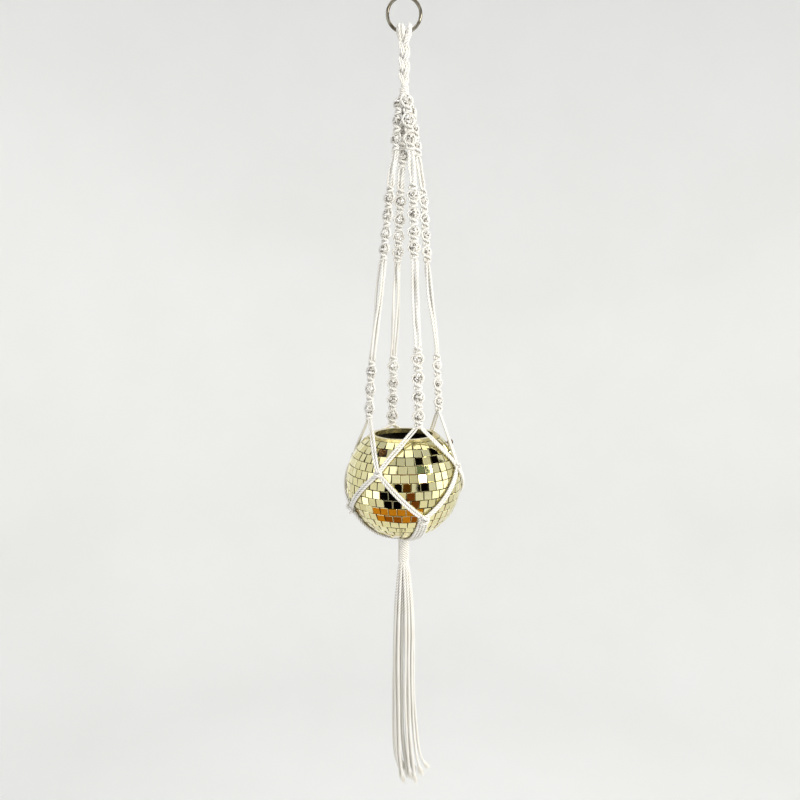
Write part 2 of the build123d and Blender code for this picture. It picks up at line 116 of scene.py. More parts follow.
TASSEL_STATIONS = (-757, -805, -855, -905, -955, -1000)
TASSEL_ROUTES = (
    ((2.4, -7.6), (2.0, -8.6), (2.9, -8.2), (2.2, -8.9), (4.1, -8.4), (7.0, -9.0), (9.5, -8.2)),
    ((6.2, -6.4), (6.9, -8.0), (6.3, -8.6), (7.4, -8.0), (9.0, -8.8), (12.6, -8.1), (16.2, -8.9)),
    ((9.3, -3.6), (11.2, -5.0), (11.8, -4.3), (11.1, -5.1), (13.6, -4.6), (18.4, -5.2), (24.0, -4.4)),
    ((10.8, 0.9), (13.9, 0.4), (14.6, 1.0), (14.0, 0.3), (17.3, 0.8), (22.6, 0.2), (29.6, 0.9)),
    ((8.0, 4.9), (10.1, 6.0), (10.7, 5.4), (10.0, 6.2), (12.6, 5.7), (17.0, 6.4), (21.8, 5.8)),
    ((3.0, 6.8), (4.2, 8.4), (3.6, 8.9), (4.6, 8.3), (6.2, 9.0), (9.6, 8.4), (13.4, 9.1)),
    ((-2.6, 6.9), (-3.2, 8.6), (-2.5, 8.1), (-3.3, 8.8), (-2.0, 8.3), (1.4, 9.0), (5.0, 8.4)),
    ((-7.2, 4.8), (-9.2, 6.1), (-8.6, 6.7), (-9.4, 6.0), (-8.4, 6.6), (-6.0, 6.1), (-3.4, 6.8)),
    ((-10.6, 0.8), (-13.6, 0.3), (-14.2, 0.9), (-14.0, 0.2), (-14.5, 0.8), (-12.6, 0.3), (-9.6, 0.9)),
    ((-9.0, -3.8), (-10.9, -5.2), (-11.5, -4.6), (-10.9, -5.3), (-11.4, -4.7), (-9.4, -5.4), (-6.2, -4.8)),
    ((-5.2, -6.6), (-6.2, -8.2), (-6.9, -8.7), (-6.2, -8.1), (-6.8, -8.8), (-4.6, -8.2), (-1.2, -8.9)),
    ((-1.6, -3.4), (-1.3, -3.9), (-1.9, -3.3), (-1.2, -4.0), (-1.8, -3.4), (1.2, -4.0), (4.4, -3.4)),
    ((4.6, -1.8), (6.1, -1.5), (6.8, -2.1), (6.2, -1.4), (7.8, -2.0), (11.6, -1.4), (15.4, -2.1)),
    ((2.2, 2.9), (2.9, 3.7), (2.3, 3.1), (3.1, 3.8), (3.9, 3.2), (7.2, 3.9), (10.6, 3.3)),
    ((-2.4, 2.6), (-3.3, 3.3), (-3.9, 2.7), (-3.2, 3.4), (-3.0, 2.8), (0.2, 3.4), (3.4, 2.9)),
    ((-4.9, -1.3), (-6.6, -1.5), (-7.2, -0.9), (-6.5, -1.6), (-7.1, -1.0), (-5.0, -1.7), (-2.0, -1.1)),
)
TASSEL_ENDS = (
    -1031, -1036, -1027, -1024, -1033, -1029, -1034, -1026,
    -1021, -1030, -1035, -1028, -1037, -1025, -1032, -1023,
)
COMBED_LENGTH = 13.0            # how much of a strand's end has come undone
TASSEL_OUTER_STRANDS = 11
TASSEL_OUTER_RING = 6.0
TASSEL_INNER_RING = 2.75

TILE_ROWS = 17
FIRST_ROW_LATITUDE = 47.3
ROW_PITCH_DEG = 8.06
LAST_ROW_LATITUDE = -82.1
TILE_SIDE = 10.0
TILE_THICKNESS = 1.5
TILE_PITCH = 10.8
EYE_ROW = 1
EYE_AZIMUTHS = (-27.0, 93.0, 213.0)
ROW_SHIFT = 0.41


# ---------------------------------------------------------------- places
def around(radius, azimuth, z):
    """A point at an azimuth round the vertical axis."""
    a = math.radians(azimuth)
    return Vector((radius * math.sin(a), -radius * math.cos(a), z))


def from_ball(azimuth, latitude, radius):
    """A point seen from the ball's centre."""
    lat = math.radians(latitude)
    return BALL_CENTRE + around(radius * math.cos(lat), azimuth, radius * math.sin(lat))


def sideways_at(azimuth):
    a = math.radians(azimuth)
    return Vector((math.cos(a), math.sin(a), 0))


def outwards_at(azimuth):
    a = math.radians(azimuth)
    return Vector((math.sin(a), -math.cos(a), 0))


def on_ball(azimuth, latitude, radius):
    """A matrix that stands a piece on the ball: x sideways, y up the ball, z outwards."""
    origin = from_ball(azimuth, latitude, radius)
    out = (origin - BALL_CENTRE).normalized()
    side = sideways_at(azimuth)
    turn = Matrix((side, out.cross(side), out)).transposed().to_4x4()
    return Matrix.Translation(origin) @ turn


def leg_point(leg, z):
    """The middle of a leg at a height."""
    for (z_a, r_a, lean_a), (z_b, r_b, lean_b) in zip(LEG_STATIONS, LEG_STATIONS[1:]):
        if z_a >= z >= z_b:
            t = (z_a - z) / (z_a - z_b)
            lean = Vector((lean_a + (lean_b - lean_a) * t, 0, 0))
            return around(r_a + (r_b - r_a) * t, LEG_AZIMUTHS[leg], z) + lean
    return leg_point(leg, LEG_STATIONS[0][0]) + Vector((0, 0, z - LEG_STATIONS[0][0]))


def group_span(leg, level):
    """The heights between which a bead group hangs straight."""
    heights = BEAD_HEIGHTS[level][leg]
    half = BEAD_DIA / 2 + KNOT_LENGTH
    top = LEG_STATIONS[0][0] if level == "upper" else heights[0] + half
    return top, heights[-1] - half


def leg_axis(leg, z):
    """The line that a leg's cords and beads follow: straight through each bead group."""
    for level in BEAD_HEIGHTS:
        top, bottom = group_span(leg, level)
        if top >= z >= bottom:
            return leg_point(leg, top).lerp(leg_point(leg, bottom), (top - z) / (top - bottom))
    return leg_point(leg, z)


# ---------------------------------------------------------------- camera
def make_camera():
    data = bpy.data.cameras.new("camera")
    data.sensor_width = 36
    data.lens = 27.05
    camera = bpy.data.objects.new("camera", data)
    bpy.context.collection.objects.link(camera)
    camera.location = (-0.005, -0.782, -0.386)
    camera.rotation_euler = (math.radians(82.5), 0, 0)
    bpy.context.scene.camera = camera


make_camera()


# ---------------------------------------------------------------- materials
def colour(hex_code):
    """An sRGB hex colour as the linear numbers that a shader takes."""
    channels = [int(hex_code[i:i + 2], 16) / 255 for i in (1, 3, 5)]
    linear = [c / 12.92 if c <= 0.04045 else ((c + 0.055) / 1.055) ** 2.4 for c in channels]
    return (*linear, 1.0)


def add(tree, kind, inputs=None, **settings):
    """Add a shader node.  An input is a value, a hex colour, or a socket to link from."""
    made = tree.nodes.new("ShaderNode" + kind)
    for name, value in settings.items():
        setattr(made, name, value)
    for name, value in (inputs or {}).items():
        if isinstance(value, bpy.types.NodeSocket):
            tree.links.new(value, made.inputs[name])
        else:
            made.inputs[name].default_value = colour(value) if isinstance(value, str) else value
    return made


def per_mm(size):
    """The scale of a pattern whose grain is this many millimetres."""
    return 1 / (size * MM)


def new_material(name, **inputs):
    """A material with its shader's plain sockets set, such as base_color or sheen_weight."""
    material = bpy.data.materials.new(name)
    material.use_nodes = True
    shader = material.node_tree.nodes["Principled BSDF"]
    for key, value in inputs.items():
        socket = next(s for s in shader.inputs if s.name.lower().replace(" ", "_") == key)
        socket.default_value = colour(value) if isinstance(value, str) else value
    return material, material.node_tree, shader


# A Mix node's sockets for colours share their names, so they go by number
SHARE, FIRST, SECOND, MIXED = 0, 6, 7, 2


def twisted_cotton():
    """Unbleached cotton cord in three plies: quite matt, with a soft bright edge from its
    loose fibres, cream where it faces out, and with painted shade darkening the lay between two plies."""
    material, tree, shader = new_material(
        "cotton cord, twisted and unbleached",
        roughness=0.88, sheen_weight=0.35, sheen_roughness=0.5, specular_ior_level=0.25,
    )
    here = add(tree, "TexCoord").outputs["Object"]
    lay = add(tree, "Attribute", attribute_name="lay_depth")
    deep = add(tree, "Math", {0: lay.outputs["Fac"], 1: 1.6}, operation="POWER")
    patches = add(
        tree, "TexNoise",
        {"Vector": here, "Scale": per_mm(28.0), "Detail": 2.0, "Roughness": 0.55},
    )
    warmth = add(
        tree, "MapRange", {"Value": patches.outputs["Fac"], "From Min": 0.35, "From Max": 0.65}
    )
    cream = add(
        tree, "Mix", {SHARE: warmth.outputs["Result"], FIRST: "#FCFBF7", SECOND: "#F6F3EC"},
        data_type="RGBA",
    )
    # Fibres are near 0.02 mm; they are drawn at 0.3 mm, so that they still show
    fibres = add(
        tree, "TexNoise",
        {"Vector": here, "Scale": per_mm(0.3), "Detail": 4.0, "Roughness": 0.65},
    )
    fleck = add(
        tree, "MapRange",
        {"Value": fibres.outputs["Fac"], "From Min": 0.55, "From Max": 0.85, "To Max": 0.5},
    )
    flecked = add(
        tree, "Mix",
        {SHARE: fleck.outputs["Result"], FIRST: cream.outputs[MIXED], SECOND: "#E4DCC9"},
        data_type="RGBA",
    )
    # Painted shade: the deeper the lay between two plies, the more the cream is darkened towards #8B8068
    shade = add(tree, "MapRange", {"Value": deep.outputs["Value"], "To Max": 0.75})
    base = add(
        tree, "Mix",
        {SHARE: shade.outputs["Result"], FIRST: flecked.outputs[MIXED], SECOND: "#8B8068"},
        data_type="RGBA",
    )
    tree.links.new(base.outputs[MIXED], shader.inputs["Base Color"])
    fuzz = add(
        tree, "Bump", {"Height": fibres.outputs["Fac"], "Distance": 0.18 * MM, "Strength": 0.7}
    )
    tree.links.new(fuzz.outputs["Normal"], shader.inputs["Normal"])
    return material


def combed_cotton():
    """The same cotton where the plies have come undone: single soft yarns, brighter."""
    material, tree, shader = new_material(
        "cotton yarn, combed out", roughness=0.92, sheen_weight=0.5, sheen_roughness=0.45,
        specular_ior_level=0.2,
    )
    here = add(tree, "TexCoord").outputs["Object"]
    strands = add(
        tree, "TexNoise",
        {"Vector": here, "Scale": per_mm(1.6), "Detail": 2.0, "Roughness": 0.55},
    )
    warmth = add(
        tree, "MapRange", {"Value": strands.outputs["Fac"], "From Min": 0.3, "From Max": 0.7}
    )
    base = add(
        tree, "Mix", {SHARE: warmth.outputs["Result"], FIRST: "#FBF9F3", SECOND: "#EEE8DA"},
        data_type="RGBA",
    )
    tree.links.new(base.outputs[MIXED], shader.inputs["Base Color"])
    return material


def polished_steel():
    """Nickel-plated steel wire, polished and then handled: a sharp dark mirror with fine
    wear marks and duller, slightly brown patches."""
    material, tree, shader = new_material(
        "steel wire, nickel plated and polished", base_color="#A8A49A", metallic=1.0,
    )
    here = add(tree, "TexCoord").outputs["Object"]
    patches = add(
        tree, "TexNoise",
        {"Vector": here, "Scale": per_mm(9.0), "Detail": 5.0, "Roughness": 0.55},
    )
    worn = add(
        tree, "MapRange", {"Value": patches.outputs["Fac"], "From Min": 0.4, "From Max": 0.7}
    )
    base = add(
        tree, "Mix", {SHARE: worn.outputs["Result"], FIRST: "#8F897B", SECOND: "#534C3D"},
        data_type="RGBA",
    )
    tree.links.new(base.outputs[MIXED], shader.inputs["Base Color"])
    dull = add(tree, "MapRange", {"Value": worn.outputs["Result"], "To Min": 0.06, "To Max": 0.22})
    tree.links.new(dull.outputs["Result"], shader.inputs["Roughness"])
    scratches = add(
        tree, "TexNoise",
        {"Vector": here, "Scale": per_mm(0.5), "Detail": 6.0, "Roughness": 0.7},
    )
    scored = add(
        tree, "Bump",
        {"Height": scratches.outputs["Fac"], "Distance": 0.02 * MM, "Strength": 0.4},
    )
    tree.links.new(scored.outputs["Normal"], shader.inputs["Normal"])
    return material


def gold_mirror():
    """Float glass, silvered with pale gold: a clean mirror under a hard clear face, a little
    wavy, and each tile from a slightly different pour."""
    material, tree, shader = new_material(
        "glass mirror, pale gold", metallic=1.0, roughness=0.035, coat_weight=0.6,
        coat_roughness=0.01,
    )
    here = add(tree, "TexCoord").outputs["Object"]
    batch = add(tree, "Attribute", attribute_name="tile_batch")
    tone = add(
        tree, "Mix", {SHARE: batch.outputs["Fac"], FIRST: "#F2EBB6", SECOND: "#DFD598"},
        data_type="RGBA",
    )
    haze = add(
        tree, "TexNoise",
        {"Vector": here, "Scale": per_mm(3.5), "Detail": 4.0, "Roughness": 0.55},
    )
    dust = add(
        tree, "MapRange",
        {"Value": haze.outputs["Fac"], "From Min": 0.55, "From Max": 0.8, "To Max": 0.16},
    )
    dusty = add(
        tree, "Mix",
        {SHARE: dust.outputs["Result"], FIRST: tone.outputs[MIXED], SECOND: "#F6F2DF"},
        data_type="RGBA",
    )
    tree.links.new(dusty.outputs[MIXED], shader.inputs["Base Color"])
    waves = add(
        tree, "TexNoise",
        {"Vector": here, "Scale": per_mm(14.0), "Detail": 1.0, "Roughness": 0.55},
    )
    wavy = add(
        tree, "Bump", {"Height": waves.outputs["Fac"], "Distance": 0.25 * MM, "Strength": 0.25}
    )
    tree.links.new(wavy.outputs["Normal"], shader.inputs["Normal"])
    return material


def cut_glass_edge():
    """The ground edges of a cut mirror: dull, grey-green and darker than the face."""
    material, tree, shader = new_material("glass edge, ground", roughness=0.45, coat_weight=0.3)
    here = add(tree, "TexCoord").outputs["Object"]
    chips = add(
        tree, "TexNoise",
        {"Vector": here, "Scale": per_mm(0.9), "Detail": 3.0, "Roughness": 0.55},
    )
    chipped = add(
        tree, "MapRange", {"Value": chips.outputs["Fac"], "From Min": 0.35, "From Max": 0.7}
    )
    base = add(
        tree, "Mix", {SHARE: chipped.outputs["Result"], FIRST: "#26230F", SECOND: "#5C5730"},
        data_type="RGBA",
    )
    tree.links.new(base.outputs[MIXED], shader.inputs["Base Color"])
    return material


def black_shell():
    """Moulded ABS, left black: satin, with a fine pebble from the mould and some dust."""
    material, tree, shader = new_material("ABS shell, moulded black", roughness=0.55)
    here = add(tree, "TexCoord").outputs["Object"]
    dust = add(
        tree, "TexNoise",
        {"Vector": here, "Scale": per_mm(11.0), "Detail": 5.0, "Roughness": 0.55},
    )
    dusty = add(
        tree, "MapRange", {"Value": dust.outputs["Fac"], "From Min": 0.45, "From Max": 0.75}
    )
    base = add(
        tree, "Mix", {SHARE: dusty.outputs["Result"], FIRST: "#37312A", SECOND: "#565047"},
        data_type="RGBA",
    )
    tree.links.new(base.outputs[MIXED], shader.inputs["Base Color"])
    pebble = add(
        tree, "TexNoise",
        {"Vector": here, "Scale": per_mm(0.6), "Detail": 3.0, "Roughness": 0.55},
    )
    pebbled = add(
        tree, "Bump", {"Height": pebble.outputs["Fac"], "Distance": 0.05 * MM, "Strength": 0.5}
    )
    tree.links.new(pebbled.outputs["Normal"], shader.inputs["Normal"])
    return material


def gold_trim():
    """PVC edge trim with gold foil on it: bright and a bit cloudy."""
    material, tree, shader = new_material(
        "PVC trim, gold foiled", metallic=0.9, coat_weight=0.4, coat_roughness=0.1,
    )
    here = add(tree, "TexCoord").outputs["Object"]
    cloud = add(
        tree, "TexNoise",
        {"Vector": here, "Scale": per_mm(6.0), "Detail": 4.0, "Roughness": 0.55},
    )
    worn = add(
        tree, "MapRange", {"Value": cloud.outputs["Fac"], "From Min": 0.35, "From Max": 0.7}
    )
    base = add(
        tree, "Mix", {SHARE: worn.outputs["Result"], FIRST: "#E0D394", SECOND: "#C4B16A"},
        data_type="RGBA",
    )
    tree.links.new(base.outputs[MIXED], shader.inputs["Base Color"])
    dull = add(tree, "MapRange", {"Value": worn.outputs["Result"], "To Min": 0.16, "To Max": 0.34})
    tree.links.new(dull.outputs["Result"], shader.inputs["Roughness"])
    uneven = add(
        tree, "Bump", {"Height": cloud.outputs["Fac"], "Distance": 0.06 * MM, "Strength": 0.5}
    )
    tree.links.new(uneven.outputs["Normal"], shader.inputs["Normal"])
    return material


def aged_bronze():
    """Brass eye, chemically browned: dark, and rubbed brighter in random patches."""
    material, tree, shader = new_material("brass, browned", metallic=1.0)
    here = add(tree, "TexCoord").outputs["Object"]
    rubbed = add(
        tree, "TexNoise",
        {"Vector": here, "Scale": per_mm(2.2), "Detail": 5.0, "Roughness": 0.55},
    )
    worn = add(
        tree, "MapRange", {"Value": rubbed.outputs["Fac"], "From Min": 0.45, "From Max": 0.7}
    )
    base = add(
        tree, "Mix", {SHARE: worn.outputs["Result"], FIRST: "#4A3320", SECOND: "#A98350"},
        data_type="RGBA",
    )
    tree.links.new(base.outputs[MIXED], shader.inputs["Base Color"])
    bright = add(tree, "MapRange", {"Value": worn.outputs["Result"], "To Min": 0.5, "To Max": 0.28})
    tree.links.new(bright.outputs["Result"], shader.inputs["Roughness"])
    pitted = add(
        tree, "Bump", {"Height": rubbed.outputs["Fac"], "Distance": 0.06 * MM, "Strength": 0.6}
    )
    tree.links.new(pitted.outputs["Normal"], shader.inputs["Normal"])
    return material


def zinc_nut():
    """Zinc-plated steel nut: pale, faintly blue and mottled."""
    material, tree, shader = new_material("steel nut, zinc plated", metallic=1.0)
    here = add(tree, "TexCoord").outputs["Object"]
    spangle = add(
        tree, "TexNoise",
        {"Vector": here, "Scale": per_mm(1.8), "Detail": 3.0, "Roughness": 0.55},
    )
    mottled = add(
        tree, "MapRange", {"Value": spangle.outputs["Fac"], "From Min": 0.35, "From Max": 0.65}
    )
    base = add(
        tree, "Mix", {SHARE: mottled.outputs["Result"], FIRST: "#B9BDC2", SECOND: "#8E9296"},
        data_type="RGBA",
    )
    tree.links.new(base.outputs[MIXED], shader.inputs["Base Color"])
    dull = add(
        tree, "MapRange", {"Value": mottled.outputs["Result"], "To Min": 0.25, "To Max": 0.42}
    )
    tree.links.new(dull.outputs["Result"], shader.inputs["Roughness"])
    return material


def grey_rubber():
    """Moulded rubber plug: dead matt, with a chalky bloom."""
    material, tree, shader = new_material("rubber, moulded", roughness=0.85)
    here = add(tree, "TexCoord").outputs["Object"]
    bloom = add(
        tree, "TexNoise",
        {"Vector": here, "Scale": per_mm(3.0), "Detail": 4.0, "Roughness": 0.55},
    )
    chalky = add(
        tree, "MapRange", {"Value": bloom.outputs["Fac"], "From Min": 0.4, "From Max": 0.75}
    )
    base = add(
        tree, "Mix", {SHARE: chalky.outputs["Result"], FIRST: "#2E2D2B", SECOND: "#55524D"},
        data_type="RGBA",
    )
    tree.links.new(base.outputs[MIXED], shader.inputs["Base Color"])
    grained = add(
        tree, "Bump", {"Height": bloom.outputs["Fac"], "Distance": 0.1 * MM, "Strength": 0.5}
    )
    tree.links.new(grained.outputs["Normal"], shader.inputs["Normal"])
    return material


def bead_clay():
    """Polymer clay that beds the crystals: pale grey, matt, pushed up between the stones."""
    material, tree, shader = new_material("polymer clay, pearl grey", roughness=0.6)
    here = add(tree, "TexCoord").outputs["Object"]
    pressed = add(
        tree, "TexNoise",
        {"Vector": here, "Scale": per_mm(1.1), "Detail": 3.0, "Roughness": 0.55},
    )
    grimed = add(
        tree, "MapRange", {"Value": pressed.outputs["Fac"], "From Min": 0.4, "From Max": 0.65}
    )
    base = add(
        tree, "Mix", {SHARE: grimed.outputs["Result"], FIRST: "#D6D0C4", SECOND: "#857D6E"},
        data_type="RGBA",
    )
    tree.links.new(base.outputs[MIXED], shader.inputs["Base Color"])
    dented = add(
        tree, "Bump", {"Height": pressed.outputs["Fac"], "Distance": 0.15 * MM, "Strength": 0.6}
    )
    tree.links.new(dented.outputs["Normal"], shader.inputs["Normal"])
    return material


def foiled_crystal():
    """Cut glass with foil behind it: each facet is a small clear mirror; random cells are painted
    nearly black as painted dark reflections, so that a bead sparkles as it turns."""
    material, tree, shader = new_material(
        "cut crystal, foil backed", metallic=0.4, roughness=0.04, coat_weight=1.0,
        coat_roughness=0.01,
    )
    here = add(tree, "TexCoord").outputs["Object"]
    cells = add(tree, "TexVoronoi", {"Vector": here, "Scale": per_mm(2.4)})
    tone = add(tree, "SeparateColor", {"Color": cells.outputs["Color"]})
    # Painted reflection: random cells are painted nearly black (#2A2620), standing in for dark things a
    # facet mirrors
    dark = add(
        tree, "MapRange", {"Value": tone.outputs["Red"], "From Min": 0.66, "From Max": 0.72}
    )
    base = add(
        tree, "Mix", {SHARE: dark.outputs["Result"], FIRST: "#FEFEFC", SECOND: "#2A2620"},
        data_type="RGBA",
    )
    tree.links.new(base.outputs[MIXED], shader.inputs["Base Color"])
    return material


COTTON = twisted_cotton()
COMBED = combed_cotton()
STEEL = polished_steel()
MIRROR = gold_mirror()
MIRROR_EDGE = cut_glass_edge()
SHELL = black_shell()
TRIM = gold_trim()
BRONZE = aged_bronze()
ZINC = zinc_nut()
RUBBER = grey_rubber()
CLAY = bead_clay()
CRYSTAL = foiled_crystal()


# ---------------------------------------------------------------- cords
def ply_share(i):
    """How far out the section's point i is: 1 on a ply's crown and 0 in the lay."""
    return abs(math.cos(1.5 * 2 * math.pi * i / SECTION_POINTS))


def three_ply_section():
    """The outline of a three-ply cord, one unit in radius."""
    outline = bpy.data.curves.new("three_ply_section", "CURVE")
    spline = outline.splines.new("POLY")
    spline.points.add(SECTION_POINTS - 1)
    for i, point in enumerate(spline.points):
        a = -2 * math.pi * i / SECTION_POINTS
        radius = 1 - PLY_DEPTH * (1 - ply_share(i))
        point.co = (radius * math.cos(a), radius * math.sin(a), 0, 1)
    spline.use_cyclic_u = True
    section = bpy.data.objects.new("three_ply_section", outline)
    bpy.context.collection.objects.link(section)
    return section


SECTION = three_ply_section()


def centreline(route):
    """Evenly spaced points, in metres, along the smooth line that a route in mm controls."""
    line = bpy.data.curves.new("route", "CURVE")
    line.dimensions = "3D"
    spline = line.splines.new("NURBS")
    spline.points.add(len(route) - 1)
    for point, place in zip(spline.points, route):
        point.co = (*(Vector(place) * MM), 1)
    spline.order_u = 3
    spline.use_endpoint_u = True
    spline.resolution_u = 24
    holder = bpy.data.objects.new("route", line)
    mesh = bpy.data.meshes.new_from_object(holder)
    dense = [vertex.co.copy() for vertex in mesh.vertices]
    bpy.data.objects.remove(holder)
    bpy.data.curves.remove(line)
    bpy.data.meshes.remove(mesh)
    total = sum((b - a).length for a, b in zip(dense, dense[1:]))
    step = total / max(2, round(total / (LAY_STEP * MM)))
    points = [dense[0]]
    walked = 0.0
    for a, b in zip(dense, dense[1:]):
        run = (b - a).length
        while run > 0 and walked + run >= step * len(points) - 1e-9:
            points.append(a.lerp(b, (step * len(points) - walked) / run))
        walked += run
    return points


def swept_mesh(curve):
    """The mesh that a curve makes with its bevel."""
    holder = bpy.data.objects.new("holder", curve)
    bpy.context.collection.objects.link(holder)
    bpy.context.view_layer.update()
    depsgraph = bpy.context.evaluated_depsgraph_get()
    mesh = bpy.data.meshes.new_from_object(holder.evaluated_get(depsgraph))
    bpy.data.objects.remove(holder)
    bpy.data.curves.remove(curve)
    return mesh


def lay_cords(name, lines, diameter, squeeze=None):
    """One mesh of twisted cords that follow their centrelines.
    squeeze(point) is how tight a cord is pulled there, as a share of its diameter."""
    curve = bpy.data.curves.new(name, "CURVE")
    curve.dimensions = "3D"
    curve.bevel_mode = "OBJECT"
    curve.bevel_object = SECTION
    rings = 0
    for line in lines:
        spline = curve.splines.new("POLY")
        spline.points.add(len(line) - 1)
        start_turn = dice.uniform(0, 2 * math.pi)
        for i, (point, place) in enumerate(zip(spline.points, line)):
            point.co = (*place, 1)
            point.radius = diameter * MM / 2 * (squeeze(place) if squeeze else 1)
            point.tilt = start_turn + 2 * math.pi * LAY_STEP * i / LAY_LENGTH
        rings += len(line)
    mesh = swept_mesh(curve)
    bm = bmesh.new()
    bm.from_mesh(mesh)
    bmesh.ops.holes_fill(bm, edges=[edge for edge in bm.edges if edge.is_boundary], sides=0)
    for face in bm.faces:
        face.smooth = True
    bm.to_mesh(mesh)
    bm.free()
    # lay_depth is 1 down in the lay and 0 on a ply's crown; the cotton material paints shade with it
    depth = mesh.attributes.new("lay_depth", "FLOAT", "POINT")
    depth.data.foreach_set("value", [1 - ply_share(i) for i in range(SECTION_POINTS)] * rings)
    return piece(name, mesh, COTTON)


def piece(name, mesh, *materials):
    """A finished mesh as an object at the origin, with its materials."""
    mesh.name = name
    mesh.materials.clear()
    for material in materials:
        mesh.materials.append(material)
    made = bpy.data.objects.new(name, mesh)
    bpy.context.collection.objects.link(made)
    return made


# ---------------------------------------------------------------- the tassel
def combed_end(name, tip, direction):
    """The last stretch of a strand, opened into its yarns."""
    curve = bpy.data.curves.new(name, "CURVE")
    curve.dimensions = "3D"
    curve.bevel_depth = 1.0
    curve.bevel_resolution = 0
    curve.use_fill_caps = True
    side = direction.orthogonal().normalized()
    for i in range(YARNS_IN_A_CORD):
        turn = Matrix.Rotation(2.4 * i, 3, direction)
        out = turn @ side
        ring = CORD_DIA * MM * 0.42 * math.sqrt((i + 0.5) / YARNS_IN_A_CORD)
        reach = COMBED_LENGTH * dice.uniform(0.6, 1.15) * MM
        flare = dice.uniform(0.4, 3.4) * MM * (0.4 + ring / (CORD_DIA * MM / 2))
        start = tip - direction * 4 * MM + out * ring
        curl = Vector((dice.uniform(-1, 1), dice.uniform(-1, 1), 0)) * MM
        route = [
            start,
            start + direction * (4 * MM + reach * 0.35) + out * flare * 0.2,
            start + direction * (4 * MM + reach * 0.7) + out * flare * 0.7 + curl,
            start + direction * (4 * MM + reach) + out * flare + curl * 0.3,
        ]
        spline = curve.splines.new("NURBS")
        spline.points.add(len(route) - 1)
        for k, (point, place) in enumerate(zip(spline.points, route)):
            point.co = (*place, 1)
            point.radius = (0.42, 0.4, 0.3, 0.14)[k] * MM
        spline.order_u = 3
        spline.use_endpoint_u = True
        spline.resolution_u = 3
    mesh = swept_mesh(curve)
    bm = bmesh.new()
    bm.from_mesh(mesh)
    bmesh.ops.remove_doubles(bm, verts=bm.verts, dist=0.01 * MM)
    bmesh.ops.recalc_face_normals(bm, faces=bm.faces)
    for face in bm.faces:
        face.smooth = True
    bm.to_mesh(mesh)
    bm.free()
    return piece(name, mesh, COMBED)


def tassel_route(i):
    """One strand's route: out of the wrap's end, over the dome under it, and down."""
    if i < TASSEL_OUTER_STRANDS:
        ring = TASSEL_OUTER_RING
        azimuth = 360 * i / TASSEL_OUTER_STRANDS
    else:
        ring = TASSEL_INNER_RING
        azimuth = 360 * (i - TASSEL_OUTER_STRANDS) / (len(TASSEL_ROUTES) - TASSEL_OUTER_STRANDS)
    stations = TASSEL_STATIONS + (TASSEL_ENDS[i] + COMBED_LENGTH,)
    route = [
        around(ring * 0.5, azimuth, BOTTOM_WRAP_END_Z + 6),
        around(ring * 0.62, azimuth, BOTTOM_WRAP_END_Z + 1),
        around(ring, azimuth, BOTTOM_WRAP_END_Z - 5),
    ]
    for (x, y), z in zip(TASSEL_ROUTES[i], stations):
        sway = 0.9 if z < TASSEL_STATIONS[0] else 0.2
        route.append(Vector((x + dice.uniform(-sway, sway), y + dice.uniform(-sway, sway), z)))
    return route


def tassel():
    for i in range(len(TASSEL_ROUTES)):
        line = centreline(tassel_route(i))
        strand = lay_cords(f"tassel_strand_{i + 1:02d}", [line], STRAND_DIA)
        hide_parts("tassel_strands")
        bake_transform(strand)
        fringe = combed_end(
            f"tassel_fringe_{i + 1:02d}", line[-1], (line[-1] - line[-4]).normalized()
        )
        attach(fringe, "tassel")


tassel()


# ---------------------------------------------------------------- the head of the hanger
def plait_middle(start_turn, z):
    """The middle of one of the three bundles, drawn together where the wrap holds them."""
    turn = 2 * math.pi * (start_turn + (PLAIT_TOP_Z - z) / PLAIT_PERIOD)
    held = min(1.0, max(0.0, (PLAIT_BOTTOM_Z + 8 - z) / 9))
    together = 1 - 0.55 * held
    return Vector((
        PLAIT_SIDEWAYS * math.sin(turn) * together,
        PLAIT_DEPTH * math.sin(2 * turn) * together,
        z,
    )), together


def bundle_cord(start_turn, across, depth):
    """One cord of a plaited bundle, from the top of the plait down into the wrap."""
    route = []
    z = PLAIT_TOP_Z - 3.0
    while z > PLAIT_BOTTOM_Z - 4:
        middle, together = plait_middle(start_turn, z)
        below, _ = plait_middle(start_turn, z - 1)
        along = (below - middle).normalized()
        side = Vector((-along.z, 0, along.x)).normalized()
        route.append(middle + (side * across + Vector((0, depth, 0))) * together)
        z -= 3.2
    return route


BUNDLE_TURNS = {"a": 0.0, "b": 1 / 3, "c": 2 / 3}
# Where each cord lies in its bundle: across it, and from front (minus) to back
BUNDLE_PLACES = ((-1.35, -1.2), (1.35, -1.2), (-1.35, 1.2), (1.35, 1.2), (0.0, 0.1), (0.0, 2.0))
# Each cord over the ring: where it crosses the wire, how far out it lies, and the bundle
# and place in it of its front end and of its back end
RING_CORDS = (
    (-8.3, 4.6, ("c", 1), ("c", 3)),
    (-4.2, 4.6, ("a", 0), ("c", 0)),
    (0.0, 4.6, ("a", 1), ("a", 3)),
    (4.2, 4.6, ("b", 0), ("a", 2)),
    (8.3, 4.6, ("b", 1), ("b", 3)),
    (-6.2, 6.4, ("c", 4), ("c", 2)),
    (-2.1, 6.4, ("a", 4), ("a", 5)),
    (6.2, 6.4, ("b", 4), ("b", 2)),
)


def plaited(point):
    """The plait draws its cords tight."""
    return 0.94 if point.z / MM > PLAIT_TOP_Z else 0.92


